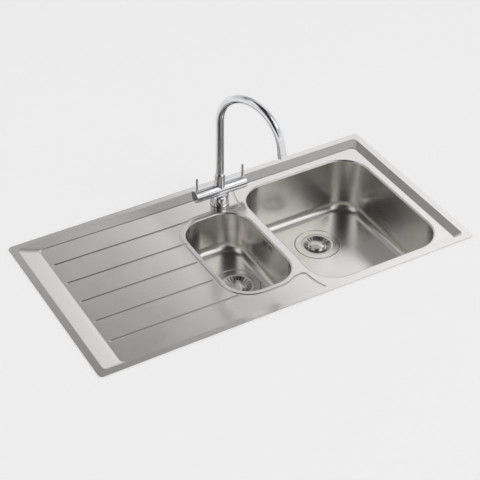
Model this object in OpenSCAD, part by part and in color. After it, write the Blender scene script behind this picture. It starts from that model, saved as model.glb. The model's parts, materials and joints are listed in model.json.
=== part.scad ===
// Inset kitchen sink: one and a half bowls, a drainer on the left and a two-lever mixer tap.
// Z = 0 is the worktop surface and the origin is the middle of the worktop's cut-out.
// +X runs along the long side towards the main bowl, +Y runs to the back. Millimetres.

/* [Rim] */
// Length of the sink over its rim
sink_w = 1000; // [990:1:1040]
// Width of the sink over its rim, front to back
sink_d = 510; // [500:1:530]
// Corner radius of the rim
rim_r = 12; // [8:1:16]
// Height of the rim above the worktop
rim_h = 1.8; // [1.6:0.1:2.6]
// Thickness of the steel sheet
sheet_t = 0.8; // [0.6:0.1:1]
// Width of the flat flange around the hollow
flange_w = 18; // [16:1:20]
// Width of the worktop that the rim covers on each side
overlap = 10; // [8:0.5:12]
// Thickness of the worktop that the clips reach under
worktop_t = 38; // [30:1:42]
// Distance from the end of a clip rail to the corner of the rim
rail_end = 60; // [40:1:90]

/* [Drainer and deck] */
// Depth of the deck around the bowls, below the rim
deck_drop = 10; // [8:0.5:13]
// Depth of the drainer at its left end, below the rim
drain_drop = 5; // [3:0.5:7]
// Width of the sloping side on the left
ramp_left = 45; // [35:1:55]
// Width of the sloping side on the right
ramp_right = 18; // [12:1:19]
// Width of the sloping side at the back
ramp_back = 24; // [16:1:26]
// Width of the sloping side at the front
ramp_front = 5; // [3:0.5:7]
// Corner radius of the hollow
hollow_r = 12; // [6:1:16]
// Number of drainer grooves
groove_n = 5; // [3:2:5]
// Distance between neighbouring drainer grooves
groove_pitch = 75.4; // [60:0.1:80]
// Distance of the middle drainer groove behind the middle of the hollow's floor
groove_shift = 4.5; // [-5:0.5:10]
// Width of a drainer groove
groove_w = 6; // [4:0.5:8]
// Depth of a drainer groove
groove_d = 1.2; // [0.8:0.1:2]
// Distance from the left ramp to the drainer grooves
groove_gap = 8; // [5:1:20]
// Width of the pressed line that borders the bowls' part of the deck
line_w = 5; // [3:0.5:6]
// Depth of the pressed line
line_d = 1; // [0.6:0.1:1.6]
// Distance from the half bowl to the pressed line around it
line_gap = 15; // [12:0.5:17]
// Distance from the half bowl to the pressed line's stretch between the bowls
line_side = 10; // [8:0.5:14]
// Step of the pressed line from the half bowl's front and back to its stretch between the bowls
line_step = 15; // [10:1:25]
// Radius of the pressed line where it curves away to the front and the back
line_r = 160; // [100:1:180]

/* [Bowls] */
// Width of the main bowl, left to right
main_w = 352; // [330:1:354]
// Flat part of the deck to the right of the main bowl
main_side = 21; // [16:1:30]
// Flat part of the deck in front of the main bowl
main_front = 14; // [10:1:30]
// Flat part of the deck behind the main bowl
main_back = 25; // [12:1:40]
// Corner radius of the main bowl
main_r = 72; // [60:1:90]
// Depth of the main bowl below the rim
main_depth = 160; // [145:1:190]
// Width of the bridge between the two bowls
bridge_w = 25; // [24:0.5:32]
// Width of the half bowl, left to right
half_w = 172; // [150:1:174]
// Flat part of the deck in front of the half bowl
half_front = 71; // [40:1:110]
// Corner radius of the half bowl
half_r = 65; // [50:1:75]
// Depth of the half bowl below the rim
half_depth = 118; // [105:1:130]
// Radius of the rounded edge between the deck and a bowl
mouth_r = 4; // [3:0.5:5]
// Radius between a bowl's walls and its floor
fillet_r = 25; // [18:1:30]
// How far each bowl wall leans in on its way down
draft = 6; // [3:0.5:8]
// Thickness of the sound pads under the bowls
pad_t = 2; // [1.5:0.5:4]
// Distance of a sound pad from the edges of the flat floor that it is glued to
pad_margin = 12; // [8:1:20]

/* [Wastes] */
// Distance of the main bowl's waste from the bowl's back wall
main_waste_back = 118; // [95:1:200]
// Place of the half bowl's waste behind the bowl's middle
half_waste_dy = 0; // [-5:1:10]
// Radius of a waste's steel flange
flange_r = 57; // [55:0.5:58]
// Radius of the hole in a bowl's floor
waste_hole_r = 45; // [44.5:0.5:46]
// Depth of the pressed seat for a waste's flange
seat_d = 2.5; // [2:0.1:3.5]
// Inner radius of a strainer cup
cup_r = 42; // [38:0.5:42.5]
// Thickness of a strainer cup's steel
cup_t = 1.2; // [0.8:0.1:1.5]
// Depth of a strainer cup
cup_depth = 30; // [26:1:40]
// Thickness of the seal over the bowl's floor
top_seal_t = 1; // [0.6:0.1:1.5]
// Thickness of the gasket under the bowl's floor
gasket_t = 2; // [1.5:0.5:3]
// Wall thickness of a waste body
body_t = 3.4; // [2.5:0.1:4]
// Radius of a waste outlet over its thread
outlet_r = 23.9; // [20:0.1:25]
// Length of a waste outlet's thread
outlet_len = 18; // [14:1:25]
// Radius of the bolt that clamps a waste
bolt_r = 3; // [2.5:0.5:4]
// Number of slots in a basket
slot_n = 24; // [16:1:28]
// Width of a basket slot
slot_w = 2.4; // [1.6:0.1:3]
// Radius of the knob in the middle of a basket
knob_r = 20; // [16:0.5:21]

/* [Overflow] */
// Depth of the overflow's middle below the rim
overflow_drop = 29; // [27:1:36]
// Length of the overflow's cover
cover_l = 58; // [50:1:64]
// Height of the overflow's cover
cover_h = 17; // [15:0.5:20]
// Thickness of the overflow's cover
cover_t = 1; // [0.8:0.1:1.5]
// Outer radius of the overflow pipe
pipe_r = 9; // [7:0.5:9.5]
// Wall thickness of the overflow pipe
pipe_t = 1.5; // [1:0.1:2]
// Bend radius of the overflow pipe
pipe_bend = 28; // [22:1:32]

/* [Tap] */
// Distance of the tap's axis from the main bowl
tap_side = 54; // [48:1:62]
// Distance of the tap's axis from the back slope
tap_back = 37; // [30:1:45]
// Distance from the tap's foot to the half bowl
tap_gap = 15; // [10:1:30]
// Radius of the hole for the tap in the deck
tap_hole_r = 17.5; // [17.5:0.5:19]
// Radius of the tap's foot
foot_r = 24; // [23:0.5:26]
// Height of the horizontal bar's axis above the deck
bar_h = 42.5; // [38:0.5:50]
// Radius of the horizontal bar
bar_r = 16.5; // [14:0.1:17]
// Length of the bar between the two handles
bar_l = 75; // [72:0.5:90]
// Length of a handle
handle_l = 33; // [30:0.5:45]
// Running gap between a handle and the bar
handle_gap = 0.3; // [0.2:0.1:0.6]
// Radius of a lever pin
pin_r = 3; // [2:0.1:4]
// Length of a lever pin above its handle
pin_len = 37.5; // [25:0.5:60]
// Distance of a lever pin from its handle's end
pin_inset = 6.5; // [5:0.5:10]
// Outer radius of the spout's collar
collar_r = 14; // [13.5:0.1:15]
// Height of the collar's top above the deck
collar_h = 90; // [80:1:110]
// Outer radius of the spout's tube
spout_r = 10.5; // [8:0.1:11]
// Wall thickness of the spout's tube
spout_t = 1.2; // [1:0.1:1.5]
// Height of the arch's springing above the deck
arch_h = 242; // [180:1:280]
// Radius of the arch
arch_r = 95; // [80:1:110]
// Angle that the arch turns through before the straight leg
arch_end = 170; // [150:1:180]
// Direction that the spout points in, from +X
spout_turn = -71; // [-110:0.5:-60]
// Length of the spout's straight leg
spout_leg = 21; // [4:1:40]
// Length of the aerator at the spout's end
aerator_l = 11; // [8:1:14]
// Radius of the tap's fixing stud
stud_r = 4; // [3:0.5:4]
// Length of the fixing stud below the deck
stud_len = 52; // [40:1:70]
// Radius of the two threaded inlets
inlet_r = 5; // [4:0.5:5]

/* [Hidden] */
$fn = 64;

// Clearance of a running fit, and a small overrun for cuts
run = 0.05;
eps = 0.5;

// Levels and outlines of the hollow
deck_z = rim_h - deck_drop;
drain_z = rim_h - drain_drop;
hollow_w = sink_w - 2 * flange_w;
hollow_d = sink_d - 2 * flange_w;
deck_x1 = hollow_w / 2 - ramp_right;
drain_x0 = -hollow_w / 2 + ramp_left;
deck_y0 = -hollow_d / 2 + ramp_front;
deck_y1 = hollow_d / 2 - ramp_back;
flange_under = rim_h - sheet_t;
groove_y = (deck_y0 + deck_y1) / 2 + groove_shift;

// Places of the tap and the bowls, from the back and the right slope
main_x0 = deck_x1 - main_side - main_w;
main_x = main_x0 + main_w / 2;
main_l = deck_y1 - main_back - deck_y0 - main_front;
main_y = deck_y0 + main_front + main_l / 2;
tap_x = main_x0 - tap_side;
tap_y = deck_y1 - tap_back;
half_x = main_x0 - bridge_w - half_w / 2;
half_l = tap_y - foot_r - tap_gap - deck_y0 - half_front;
half_y = deck_y0 + half_front + half_l / 2;

// Outline of the bowls' part of the deck, which the pressed line follows
ring_w = half_w + 2 * line_gap;
ring_l = half_l + 2 * line_gap;
ring_r = half_r + line_gap;
deck_x0 = half_x - ring_w / 2 - line_w / 2 - hollow_r;
link_x = half_x + half_w / 2 + line_side;
link_half = half_l / 2 + line_gap - line_step;
drain_tilt = atan((drain_z - deck_z) / (deck_x0 - drain_x0));

// Levels of the bowls and their wastes
main_z = rim_h - main_depth;
half_z = rim_h - half_depth;
cup_top = -seat_d + top_seal_t + cup_t;
cup_floor = cup_top - cup_depth + cup_t;
cup_under = cup_floor - cup_t;
seat_under = -seat_d - sheet_t;
body_top = seat_under - gasket_t;
body_r = cup_r + cup_t + 1.4;
body_flange_r = flange_r - 2;
body_flange_t = 4;
body_turn_z = cup_under - 4;
body_turn_h = 17;
cone_z = body_turn_z - body_turn_h;
outlet_z = cone_z - 8 - outlet_len;
cup_hole_r = 5.5;
cup_hole_at = 24;
cup_hole_n = 8;
boss_r = bolt_r + 4;
bolt_head_r = bolt_r + 2.5;
bolt_head_h = 3;

// Basket
basket_gap = 0.8;
basket_t = 1;
basket_r = cup_r - basket_gap;
basket_z = cup_top - 0.6;
valley_r = knob_r + 3;
slope_r = basket_r - 5;
valley_z = basket_z - 7;
slot_cut_h = 2 * (basket_z - valley_z);
seal_r = cup_hole_at + cup_hole_r + 3;
seal_t = 3;
seal_gap = 0.3;
stem_r = bolt_head_r + 4;
basket_seal_z = cup_floor + seal_gap;

// Overflow: the wall it sits on, the cover's slots and the pipe's route
overflow_z = rim_h - overflow_drop;
wall_top = deck_z - mouth_r;
wall_bottom = half_z + fillet_r;
wall_tilt = atan(draft / (wall_top - wall_bottom));
overflow_x = half_x + half_w / 2 - (wall_top - overflow_z) * tan(wall_tilt);
overflow_seal_t = 1.5;
elbow_x = sheet_t + overflow_seal_t;
elbow_depth = 17;
elbow_wall = 2.5;
cover_screw_r = 1.5;
pipe_x = main_x0 - bridge_w / 2;
socket_r = pipe_r + 2;
socket_depth = 14;
spigot_z = body_turn_z - 5;
pipe_low_z = half_z + spigot_z;
spigot_l = 62;
half_waste_y = half_y + half_waste_dy;
main_waste_y = main_y + main_l / 2 - main_waste_back;

// Tap
base_seal_t = 1;
bar_bottom = bar_h - bar_r;
foot_top = bar_bottom + 5;
chamber_r = bar_r - 4.2;
chamber_l = bar_l / 2 - 8;
inlet_x = 9.5;
inlet_y = 5;
inlet_len = 14;
stud_y = -9;
feed_r = 2.5;
mix_r = 4;
feed_in = 15;
cartridge_l = chamber_l - 5;
neck_r = chamber_r - 3;
neck_l = 9;
spindle_r = 3.5;
spindle_in = 15;
spindle_x0 = bar_l / 2 - spindle_in;
handle_x0 = bar_l / 2 + handle_gap;
handle_x1 = handle_x0 + handle_l;
spindle_x1 = handle_x1 - 8;
handle_bore_r = neck_r + 2;
handle_bore_l = neck_l + 2;
pin_at = handle_x1 - pin_inset;
pin_foot = bar_r - 5;
collar_base = bar_h + bar_r - 3;
spigot_r = 8;
nut_l = 6;
bush_l = 15;
bush_r = collar_r - 1.2;
bush_top = collar_h - nut_l;
tube_foot = bush_top - bush_l - 9;
packing_r = bush_r - 0.4;
packing_h = 1.6;
aerator_r = spout_r + 0.4;
leg_step = 0.05;
washer_r = foot_r;
washer_t = 3;
plate_t = 3;
nut_h = 6.5;
nut_r = stud_r * 1.9;

// Clips and rails
rail_t = 1;
rail_h = 14;
rail_y = sink_d / 2 - overlap - 3;
rail_x = sink_w / 2 - overlap - 3;
rail_len_x = sink_w - 2 * rail_end;
rail_len_y = sink_d - 2 * rail_end;
clip_w = 16;
clip_t = 1.5;
clip_reach = 10;
clip_top = deck_z - sheet_t - 4;
clip_foot = -worktop_t - 8;
clip_screw_r = 2.5;
clip_screw_at = 5;
clip_pad_t = 2;
clips_long = 4;
clips_short = 2;

// Points of a rounded rectangle, anticlockwise
function corner(x, y, r, a0, n) = [for (i = [0:n]) [x + r * cos(a0 + 90 * i / n), y + r * sin(a0 + 90 * i / n)]];
function round_points(w, l, r, n = 12) = concat(
    corner(w / 2 - r, l / 2 - r, r, 0, n), corner(-w / 2 + r, l / 2 - r, r, 90, n),
    corner(-w / 2 + r, -l / 2 + r, r, 180, n), corner(w / 2 - r, -l / 2 + r, r, 270, n));
function level(w, l, r, inset, z) = [for (p = round_points(w - 2 * inset, l - 2 * inset, r - inset)) [p[0], p[1], z]];

// Levels of a bowl from its floor up, for its visible side (g = 0) or its outside (g = sheet_t)
function bowl_levels(w, l, r, floor_z, g) = concat(
    [for (a = [90:-15:0]) level(w, l, r, draft + fillet_r - (fillet_r + g) * cos(a),
        floor_z + fillet_r - (fillet_r + g) * sin(a))],
    [for (a = [90:-30:0]) level(w, l, r, -mouth_r + (mouth_r - g) * sin(a),
        deck_z - mouth_r + (mouth_r - g) * cos(a))]);

// Solid between levels that have the same number of points
module loft(levels) {
    n = len(levels[0]);
    m = len(levels);
    polyhedron(points = [for (ring = levels) each ring],
        faces = concat([[for (i = [0:n - 1]) i]],
            [for (k = [0:m - 2], i = [0:n - 1]) [k * n + i, (k + 1) * n + i, (k + 1) * n + (i + 1) % n]],
            [for (k = [0:m - 2], i = [0:n - 1]) [k * n + i, (k + 1) * n + (i + 1) % n, k * n + (i + 1) % n]],
            [[for (i = [n - 1:-1:0]) (m - 1) * n + i]]));
}

module round_rect(w, l, r) {
    square([w - 2 * r, l], center = true);
    square([w, l - 2 * r], center = true);
    for (x = [-1, 1], y = [-1, 1]) translate([x * (w / 2 - r), y * (l / 2 - r)]) circle(r);
}

// Stadium of length l along Y and height h, centred
module stadium(l, h) {
    square([h, l - h], center = true);
    for (s = [-1, 1]) translate([0, s * (l - h) / 2]) circle(h / 2);
}

module tube(r, r_in, h) {
    difference() {
        cylinder(r = r, h = h);
        translate([0, 0, -eps]) cylinder(r = r_in, h = h + 2 * eps);
    }
}

module ring_section(r, r_in) {
    difference() {
        circle(r);
        circle(r_in);
    }
}

// Hollow of the pressing, for its visible side (g = 0, cut past the rim) or its underside (g = sheet_t)
module hollow(g) {
    over = g > 0 ? 0 : 1;
    hull() {
        translate([0, 0, rim_h - eps / 10]) linear_extrude(over + eps / 10)
            polygon(round_points(hollow_w + 2 * g, hollow_d + 2 * g, hollow_r + g, 8));
        for (y = [deck_y0 + hollow_r, deck_y1 - hollow_r]) {
            translate([drain_x0 + hollow_r, y, drain_z - g]) cylinder(r = hollow_r + g, h = 1, $fn = 32);
            translate([deck_x0 + hollow_r, y, deck_z - g]) cylinder(r = hollow_r + g, h = 1, $fn = 32);
            translate([deck_x1 - hollow_r, y, deck_z - g]) cylinder(r = hollow_r + g, h = 1, $fn = 32);
        }
    }
}

// Flat outline of the bowls' part of the deck, grown by g
module bowls_region(g) {
    right_w = sink_w - link_x;
    translate([half_x, half_y]) round_rect(ring_w + 2 * g, ring_l + 2 * g, ring_r + g);
    translate([link_x / 2 + half_x / 2 + g / 2, half_y]) square([link_x - half_x + g, 2 * link_half + 2 * g], center = true);
    translate([link_x + right_w / 2, half_y])
        round_rect(right_w + 2 * g, 2 * (link_half + line_r) + 2 * g, line_r + g);
}

// Flat outline of the hollow's floor, drawn in from the slopes and grown by g
module floor_region(g) {
    x0 = drain_x0 + line_w;
    x1 = deck_x1 - line_w;
    y0 = deck_y0 + 1;
    y1 = deck_y1 - line_w;
    translate([x0 - g, y0 - g]) square([x1 - x0 + 2 * g, y1 - y0 + 2 * g]);
}

module pressed_line(g) {
    translate([0, 0, deck_z - line_d - g]) linear_extrude(line_d + g + eps) intersection() {
        floor_region(g);
        difference() {
            bowls_region(line_w / 2 + g);
            bowls_region(-line_w / 2 - g);
        }
    }
}

// Grooves that follow the drainer's tilt down to the deck's level
module drain_grooves(g) {
    x0 = groove_gap + groove_w / 2;
    len_x = half_x - drain_x0 - x0;
    rise = drain_drop / 2;
    difference() {
        translate([drain_x0, 0, drain_z]) rotate([0, drain_tilt, 0])
            for (i = [-(groove_n - 1) / 2:(groove_n - 1) / 2])
                translate([x0 + len_x / 2, groove_y + i * groove_pitch, -groove_d - g])
                    linear_extrude(groove_d + g + rise) rotate(90) stadium(len_x + groove_w + 2 * g, groove_w + 2 * g);
        translate([0, 0, deck_z - deck_drop]) linear_extrude(2 * deck_drop) bowls_region(-g);
        translate([0, 0, deck_z - groove_d - g - deck_drop]) linear_extrude(deck_drop) square(sink_w, center = true);
    }
}

module pressing(g) {
    hollow(g);
    pressed_line(g);
    drain_grooves(g);
}

module mouth_cut(w, l, r) {
    translate([0, 0, deck_z - 5]) linear_extrude(10)
        polygon(round_points(w + 2 * mouth_r, l + 2 * mouth_r, r + mouth_r));
}

// Pressed top: rim, sloping sides, drainer and deck, with openings for the bowls and the tap
module sink_top() {
    color([0.72, 0.71, 0.69]) difference() {
        union() {
            linear_extrude(rim_h) round_rect(sink_w, sink_d, rim_r);
            pressing(sheet_t);
        }
        difference() {
            translate([0, 0, -eps]) linear_extrude(flange_under + eps)
                round_rect(sink_w - 2 * sheet_t, sink_d - 2 * sheet_t, rim_r - sheet_t);
            hollow(sheet_t);
        }
        pressing(0);
        translate([main_x, main_y, 0]) mouth_cut(main_w, main_l, main_r);
        translate([half_x, half_y, 0]) mouth_cut(half_w, half_l, half_r);
        translate([tap_x, tap_y, deck_z - 5]) cylinder(r = tap_hole_r, h = 10);
    }
}

// Deep-drawn bowl, welded into the top, with a pressed seat and a hole for its waste
module bowl(w, l, r, floor_z, waste_dy) {
    outside = concat(bowl_levels(w, l, r, floor_z, sheet_t), [level(w, l, r, -mouth_r, deck_z)]);
    inside = concat(bowl_levels(w, l, r, floor_z, 0), [level(w, l, r, -mouth_r, deck_z + 1)]);
    seat_r = flange_r + 1;
    difference() {
        union() {
            loft(outside);
            translate([0, waste_dy, floor_z + seat_under]) cylinder(r = seat_r + sheet_t, h = seat_d + sheet_t);
        }
        loft(inside);
        translate([0, waste_dy, floor_z - seat_d]) cylinder(r = seat_r, h = seat_d + 1);
        translate([0, waste_dy, floor_z - seat_d - 5]) cylinder(r = waste_hole_r, h = 10);
    }
}

module main_bowl() {
    color([0.66, 0.65, 0.62]) translate([main_x, main_y, 0])
        bowl(main_w, main_l, main_r, main_z, main_waste_y - main_y);
}

module at_overflow() {
    translate([overflow_x, half_waste_y, overflow_z]) rotate([0, wall_tilt, 0]) children();
}

// Extrudes a flat shape outwards along the half bowl wall's normal, from x0 to x1
module through_wall(x0, x1) {
    translate([x0, 0, 0]) rotate([0, 90, 0]) linear_extrude(x1 - x0) children();
}

module half_bowl() {
    color([0.66, 0.65, 0.62]) difference() {
        translate([half_x, half_y, 0]) bowl(half_w, half_l, half_r, half_z, half_waste_dy);
        at_overflow() through_wall(-2, 4) stadium(cover_l - 8, cover_h - 6);
    }
}

// Foam strip under the flange, between the rim and the worktop
module rim_seal() {
    color([0.2, 0.2, 0.21]) difference() {
        linear_extrude(flange_under)
            round_rect(sink_w - 2 * sheet_t - 1, sink_d - 2 * sheet_t - 1, rim_r - sheet_t);
        translate([0, 0, -eps]) linear_extrude(flange_under + 2 * eps)
            round_rect(sink_w - 2 * overlap, sink_d - 2 * overlap, rim_r);
    }
}

// Rails welded under the flange, just inside the cut-out, that carry the clips
module clip_rails() {
    color([0.6, 0.61, 0.63]) {
        for (s = [-1, 1]) {
            translate([-rail_len_x / 2, s * rail_y - rail_t / 2, flange_under - rail_h])
                cube([rail_len_x, rail_t, rail_h]);
            translate([s * rail_x - rail_t / 2, -rail_len_y / 2, flange_under - rail_h])
                cube([rail_t, rail_len_y, rail_h]);
        }
    }
}

// Places a child at each clip, with +Y pointing out of the sink
module at_clips() {
    for (s = [0, 1], i = [0:clips_long - 1])
        rotate(180 * s) translate([(i + 0.5) / clips_long * rail_len_x - rail_len_x / 2, rail_y, 0]) children();
    for (s = [-1, 1], i = [0:clips_short - 1])
        rotate(90 * s) translate([(i + 0.5) / clips_short * rail_len_y - rail_len_y / 2, rail_x, 0]) children();
}

// Bent steel clips that hook on the rails and reach under the worktop
module fixing_clips() {
    color([0.62, 0.62, 0.64]) at_clips() {
        translate([-clip_w / 2, -rail_t / 2 - clip_t, clip_foot]) cube([clip_w, clip_t, clip_top - clip_foot]);
        difference() {
            translate([-clip_w / 2, -rail_t / 2 - clip_t, clip_foot]) cube([clip_w, clip_reach + clip_t, clip_t]);
            translate([0, clip_screw_at, clip_foot - eps]) cylinder(r = clip_screw_r, h = clip_t + 2 * eps);
        }
        translate([-clip_w / 4, -rail_t / 2 - clip_t, clip_top - clip_t]) cube([clip_w / 2, clip_t, clip_t * 3]);
    }
}

// Pads that the screws press against the underside of the worktop
module clip_pads() {
    color([0.15, 0.15, 0.15]) at_clips() translate([0, clip_screw_at, -worktop_t - clip_pad_t])
        linear_extrude(clip_pad_t) square([clip_w - 4, 9], center = true);
}

module clip_screws() {
    color([0.75, 0.72, 0.6]) at_clips() translate([0, clip_screw_at, 0]) {
        translate([0, 0, clip_foot - 6]) cylinder(r = clip_screw_r, h = -worktop_t - clip_pad_t - clip_foot + 6);
        translate([0, 0, clip_foot - 10]) cylinder(r = clip_screw_r * 2, h = 4, $fn = 6);
    }
}

// Pad on the flat floor between a bowl's front and its waste
module sound_pad(w, front_y, waste_y, floor_z) {
    edge = draft + fillet_r + pad_margin;
    y0 = front_y + edge;
    y1 = waste_y - flange_r - pad_margin;
    translate([0, (y0 + y1) / 2, floor_z - sheet_t - pad_t]) linear_extrude(pad_t)
        round_rect(w - 2 * edge, y1 - y0, pad_margin);
}

// Damping pads glued under the floors of the bowls
module sound_pads() {
    color([0.12, 0.12, 0.12]) {
        translate([main_x, 0, 0]) sound_pad(main_w, main_y - main_l / 2, main_waste_y, main_z);
        translate([half_x, 0, 0]) sound_pad(half_w, half_y - half_l / 2, half_waste_y, half_z);
    }
}

module at_main_waste() {
    translate([main_x, main_waste_y, main_z]) children();
}

module at_half_waste() {
    translate([half_x, half_waste_y, half_z]) children();
}

// Steel flange and strainer cup, seen in the floor of a bowl
module strainer_cup() {
    color([0.7, 0.69, 0.66]) difference() {
        union() {
            translate([0, 0, cup_top - cup_t]) cylinder(r = flange_r, h = cup_t);
            translate([0, 0, cup_under]) cylinder(r = cup_r + cup_t, h = cup_top - cup_under);
        }
        translate([0, 0, cup_floor]) cylinder(r = cup_r, h = cup_depth);
        translate([0, 0, cup_under - eps]) cylinder(r = bolt_r + run, h = cup_t + 2 * eps);
        for (i = [0:cup_hole_n - 1]) rotate(360 * (i + 0.5) / cup_hole_n)
            translate([cup_hole_at, 0, cup_under - eps]) cylinder(r = cup_hole_r, h = cup_t + 2 * eps);
    }
}

module top_seal() {
    color([0.15, 0.15, 0.15]) translate([0, 0, -seat_d]) tube(flange_r - 1, waste_hole_r, top_seal_t);
}

module waste_gasket() {
    color([0.15, 0.15, 0.15]) translate([0, 0, body_top]) tube(body_flange_r, waste_hole_r, gasket_t);
}

module body_space() {
    rotate_extrude() polygon([[0, body_top + eps], [body_r, body_top + eps], [body_r, body_turn_z],
        [outlet_r - body_t, cone_z], [outlet_r - body_t, outlet_z - eps], [0, outlet_z - eps]]);
}

module body_shape() {
    rotate_extrude() polygon([[0, body_top], [body_flange_r, body_top], [body_flange_r, body_top - body_flange_t],
        [body_r + body_t, body_top - body_flange_t], [body_r + body_t, body_turn_z - 1],
        [outlet_r, cone_z - 2], [outlet_r, outlet_z], [0, outlet_z]]);
}

// Boss for the clamping bolt, held by three ribs
module body_boss() {
    boss_h = cup_under - cone_z;
    intersection() {
        union() {
            translate([0, 0, cone_z]) cylinder(r = boss_r, h = boss_h);
            for (a = [90, 210, 330]) rotate(a) translate([0, -1.5, cone_z - 2]) cube([body_r + 1, 3, boss_h - 3]);
        }
        body_shape();
    }
}

module waste_body(with_spigot) {
    color([0.88, 0.88, 0.86]) difference() {
        union() {
            difference() {
                union() {
                    body_shape();
                    if (with_spigot) translate([0, 0, spigot_z]) rotate([0, 90, 0]) cylinder(r = socket_r, h = spigot_l);
                }
                body_space();
                if (with_spigot) translate([0, 0, spigot_z]) rotate([0, 90, 0]) {
                    cylinder(r = pipe_r - pipe_t, h = spigot_l + eps);
                    translate([0, 0, spigot_l - socket_depth]) cylinder(r = pipe_r, h = socket_depth + eps);
                }
            }
            body_boss();
        }
        translate([0, 0, cone_z - eps]) cylinder(r = bolt_r, h = cup_under - cone_z + 2 * eps);
    }
}

module waste_bolt() {
    color([0.75, 0.74, 0.72]) {
        translate([0, 0, cup_floor]) cylinder(r = bolt_head_r, h = bolt_head_h);
        translate([0, 0, cone_z + 3]) cylinder(r = bolt_r, h = cup_floor - cone_z - 3);
    }
}

// Outline of the thin basket from its rim, down the slotted slope, to the flat under the knob
function basket_line(dz) = [[basket_r, basket_z - 1 + dz], [slope_r, basket_z - 1.5 + dz], [valley_r, valley_z + dz],
    [valley_r - 3, valley_z + dz], [knob_r - 3, valley_z + 3 + dz], [0, valley_z + 3 + dz]];

// Lift-out basket with radial slots and a hollow stem that clears the bolt's head
module basket() {
    upper = basket_line(basket_t);
    lower = basket_line(0);
    color([0.74, 0.73, 0.7]) difference() {
        union() {
            rotate_extrude() polygon(concat(upper, [for (i = [len(lower) - 1:-1:0]) lower[i]]));
            translate([0, 0, basket_seal_z]) cylinder(r = stem_r, h = valley_z + 3 - basket_seal_z + basket_t / 2);
        }
        translate([0, 0, basket_seal_z - eps]) cylinder(r = bolt_head_r + 1, h = bolt_head_h + 2);
        for (i = [0:slot_n - 1]) rotate(360 * i / slot_n)
            translate([valley_r + 1, -slot_w / 2, valley_z - 2]) cube([slope_r - valley_r - 2, slot_w, slot_cut_h]);
    }
}

module basket_seal() {
    color([0.12, 0.12, 0.12]) translate([0, 0, basket_seal_z]) tube(seal_r, stem_r, seal_t);
}

// Domed knob in the middle of a basket
module basket_knob() {
    foot = valley_z + 3 + basket_t;
    color([0.76, 0.75, 0.72]) translate([0, 0, foot]) rotate_extrude()
        polygon([[0, 0], [knob_r - 4, 0], [knob_r - 1, 1.2], [knob_r, 2.6], [knob_r - 1.5, 3.6],
            [knob_r * 0.62, 5], [knob_r * 0.3, 5.8], [0, 6]]);
}

module strainer_cup_main() { at_main_waste() strainer_cup(); }
module strainer_cup_half() { at_half_waste() strainer_cup(); }
module top_seal_main() { at_main_waste() top_seal(); }
module top_seal_half() { at_half_waste() top_seal(); }
module waste_gasket_main() { at_main_waste() waste_gasket(); }
module waste_gasket_half() { at_half_waste() waste_gasket(); }
module waste_body_main() { at_main_waste() waste_body(false); }
module waste_body_half() { at_half_waste() waste_body(true); }
module waste_bolt_main() { at_main_waste() waste_bolt(); }
module waste_bolt_half() { at_half_waste() waste_bolt(); }
module basket_main() { at_main_waste() basket(); }
module basket_half() { at_half_waste() basket(); }
module basket_seal_main() { at_main_waste() basket_seal(); }
module basket_seal_half() { at_half_waste() basket_seal(); }
module basket_knob_main() { at_main_waste() basket_knob(); }
module basket_knob_half() { at_half_waste() basket_knob(); }

// Slotted cover on the inside of the half bowl's right wall
module overflow_cover() {
    pitch = cover_l / 7;
    color([0.7, 0.69, 0.66]) at_overflow() through_wall(-cover_t, 0) difference() {
        stadium(cover_l, cover_h);
        circle(cover_screw_r);
        for (s = [-1, 1], k = [1.1, 2.1]) translate([0, s * k * pitch]) rotate(90) stadium(cover_h - 5, 3.4);
    }
}

module overflow_screw() {
    color([0.75, 0.74, 0.72]) at_overflow() {
        through_wall(-cover_t - 1.5, -cover_t) circle(cover_screw_r * 2);
        through_wall(-cover_t, elbow_depth - 4) circle(cover_screw_r);
    }
}

module overflow_gasket() {
    color([0.15, 0.15, 0.15]) at_overflow() through_wall(sheet_t, elbow_x) difference() {
        stadium(cover_l - 2, cover_h + 1);
        stadium(cover_l - 8, cover_h - 6);
    }
}

// Housing behind the half bowl's wall that turns the overflow down into its pipe
module overflow_elbow() {
    socket_top = overflow_z - cover_h / 2 + 2;
    color([0.88, 0.88, 0.86]) difference() {
        union() {
            difference() {
                at_overflow() through_wall(elbow_x, elbow_x + elbow_depth) stadium(cover_l - 2, cover_h + 1);
                at_overflow() through_wall(elbow_x - eps, elbow_x + elbow_depth - elbow_wall)
                    stadium(cover_l - 2 - 2 * elbow_wall, cover_h + 1 - 2 * elbow_wall);
            }
            at_overflow() through_wall(elbow_x, elbow_x + elbow_depth - 1) circle(cover_screw_r + 1.5);
            translate([pipe_x, half_waste_y, socket_top - socket_depth - 4]) cylinder(r = socket_r, h = socket_depth + 5);
        }
        translate([pipe_x, half_waste_y, socket_top - socket_depth - 5]) cylinder(r = pipe_r, h = socket_depth + 1);
        translate([pipe_x, half_waste_y, socket_top - 8]) cylinder(r = pipe_r - pipe_t - 0.5, h = 11);
        at_overflow() through_wall(elbow_x - eps, elbow_depth - 4) circle(cover_screw_r);
    }
}

// Rigid pipe between the bowls, from the elbow to the half bowl's waste body
module overflow_pipe() {
    top_z = overflow_z - cover_h / 2 + 2 - 4;
    low_x = half_x + spigot_l - socket_depth;
    bend_z = pipe_low_z + pipe_bend;
    bend_x = pipe_x - pipe_bend;
    color([0.88, 0.88, 0.86]) translate([0, half_waste_y, 0]) {
        translate([pipe_x, 0, bend_z]) tube(pipe_r, pipe_r - pipe_t, top_z - bend_z);
        translate([bend_x, 0, bend_z]) rotate([90, 0, 0]) rotate_extrude(angle = -90) translate([pipe_bend, 0])
            ring_section(pipe_r, pipe_r - pipe_t);
        translate([low_x, 0, pipe_low_z]) rotate([0, 90, 0]) tube(pipe_r, pipe_r - pipe_t, bend_x - low_x);
    }
}

module at_tap() {
    translate([tap_x, tap_y, deck_z]) children();
}

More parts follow.
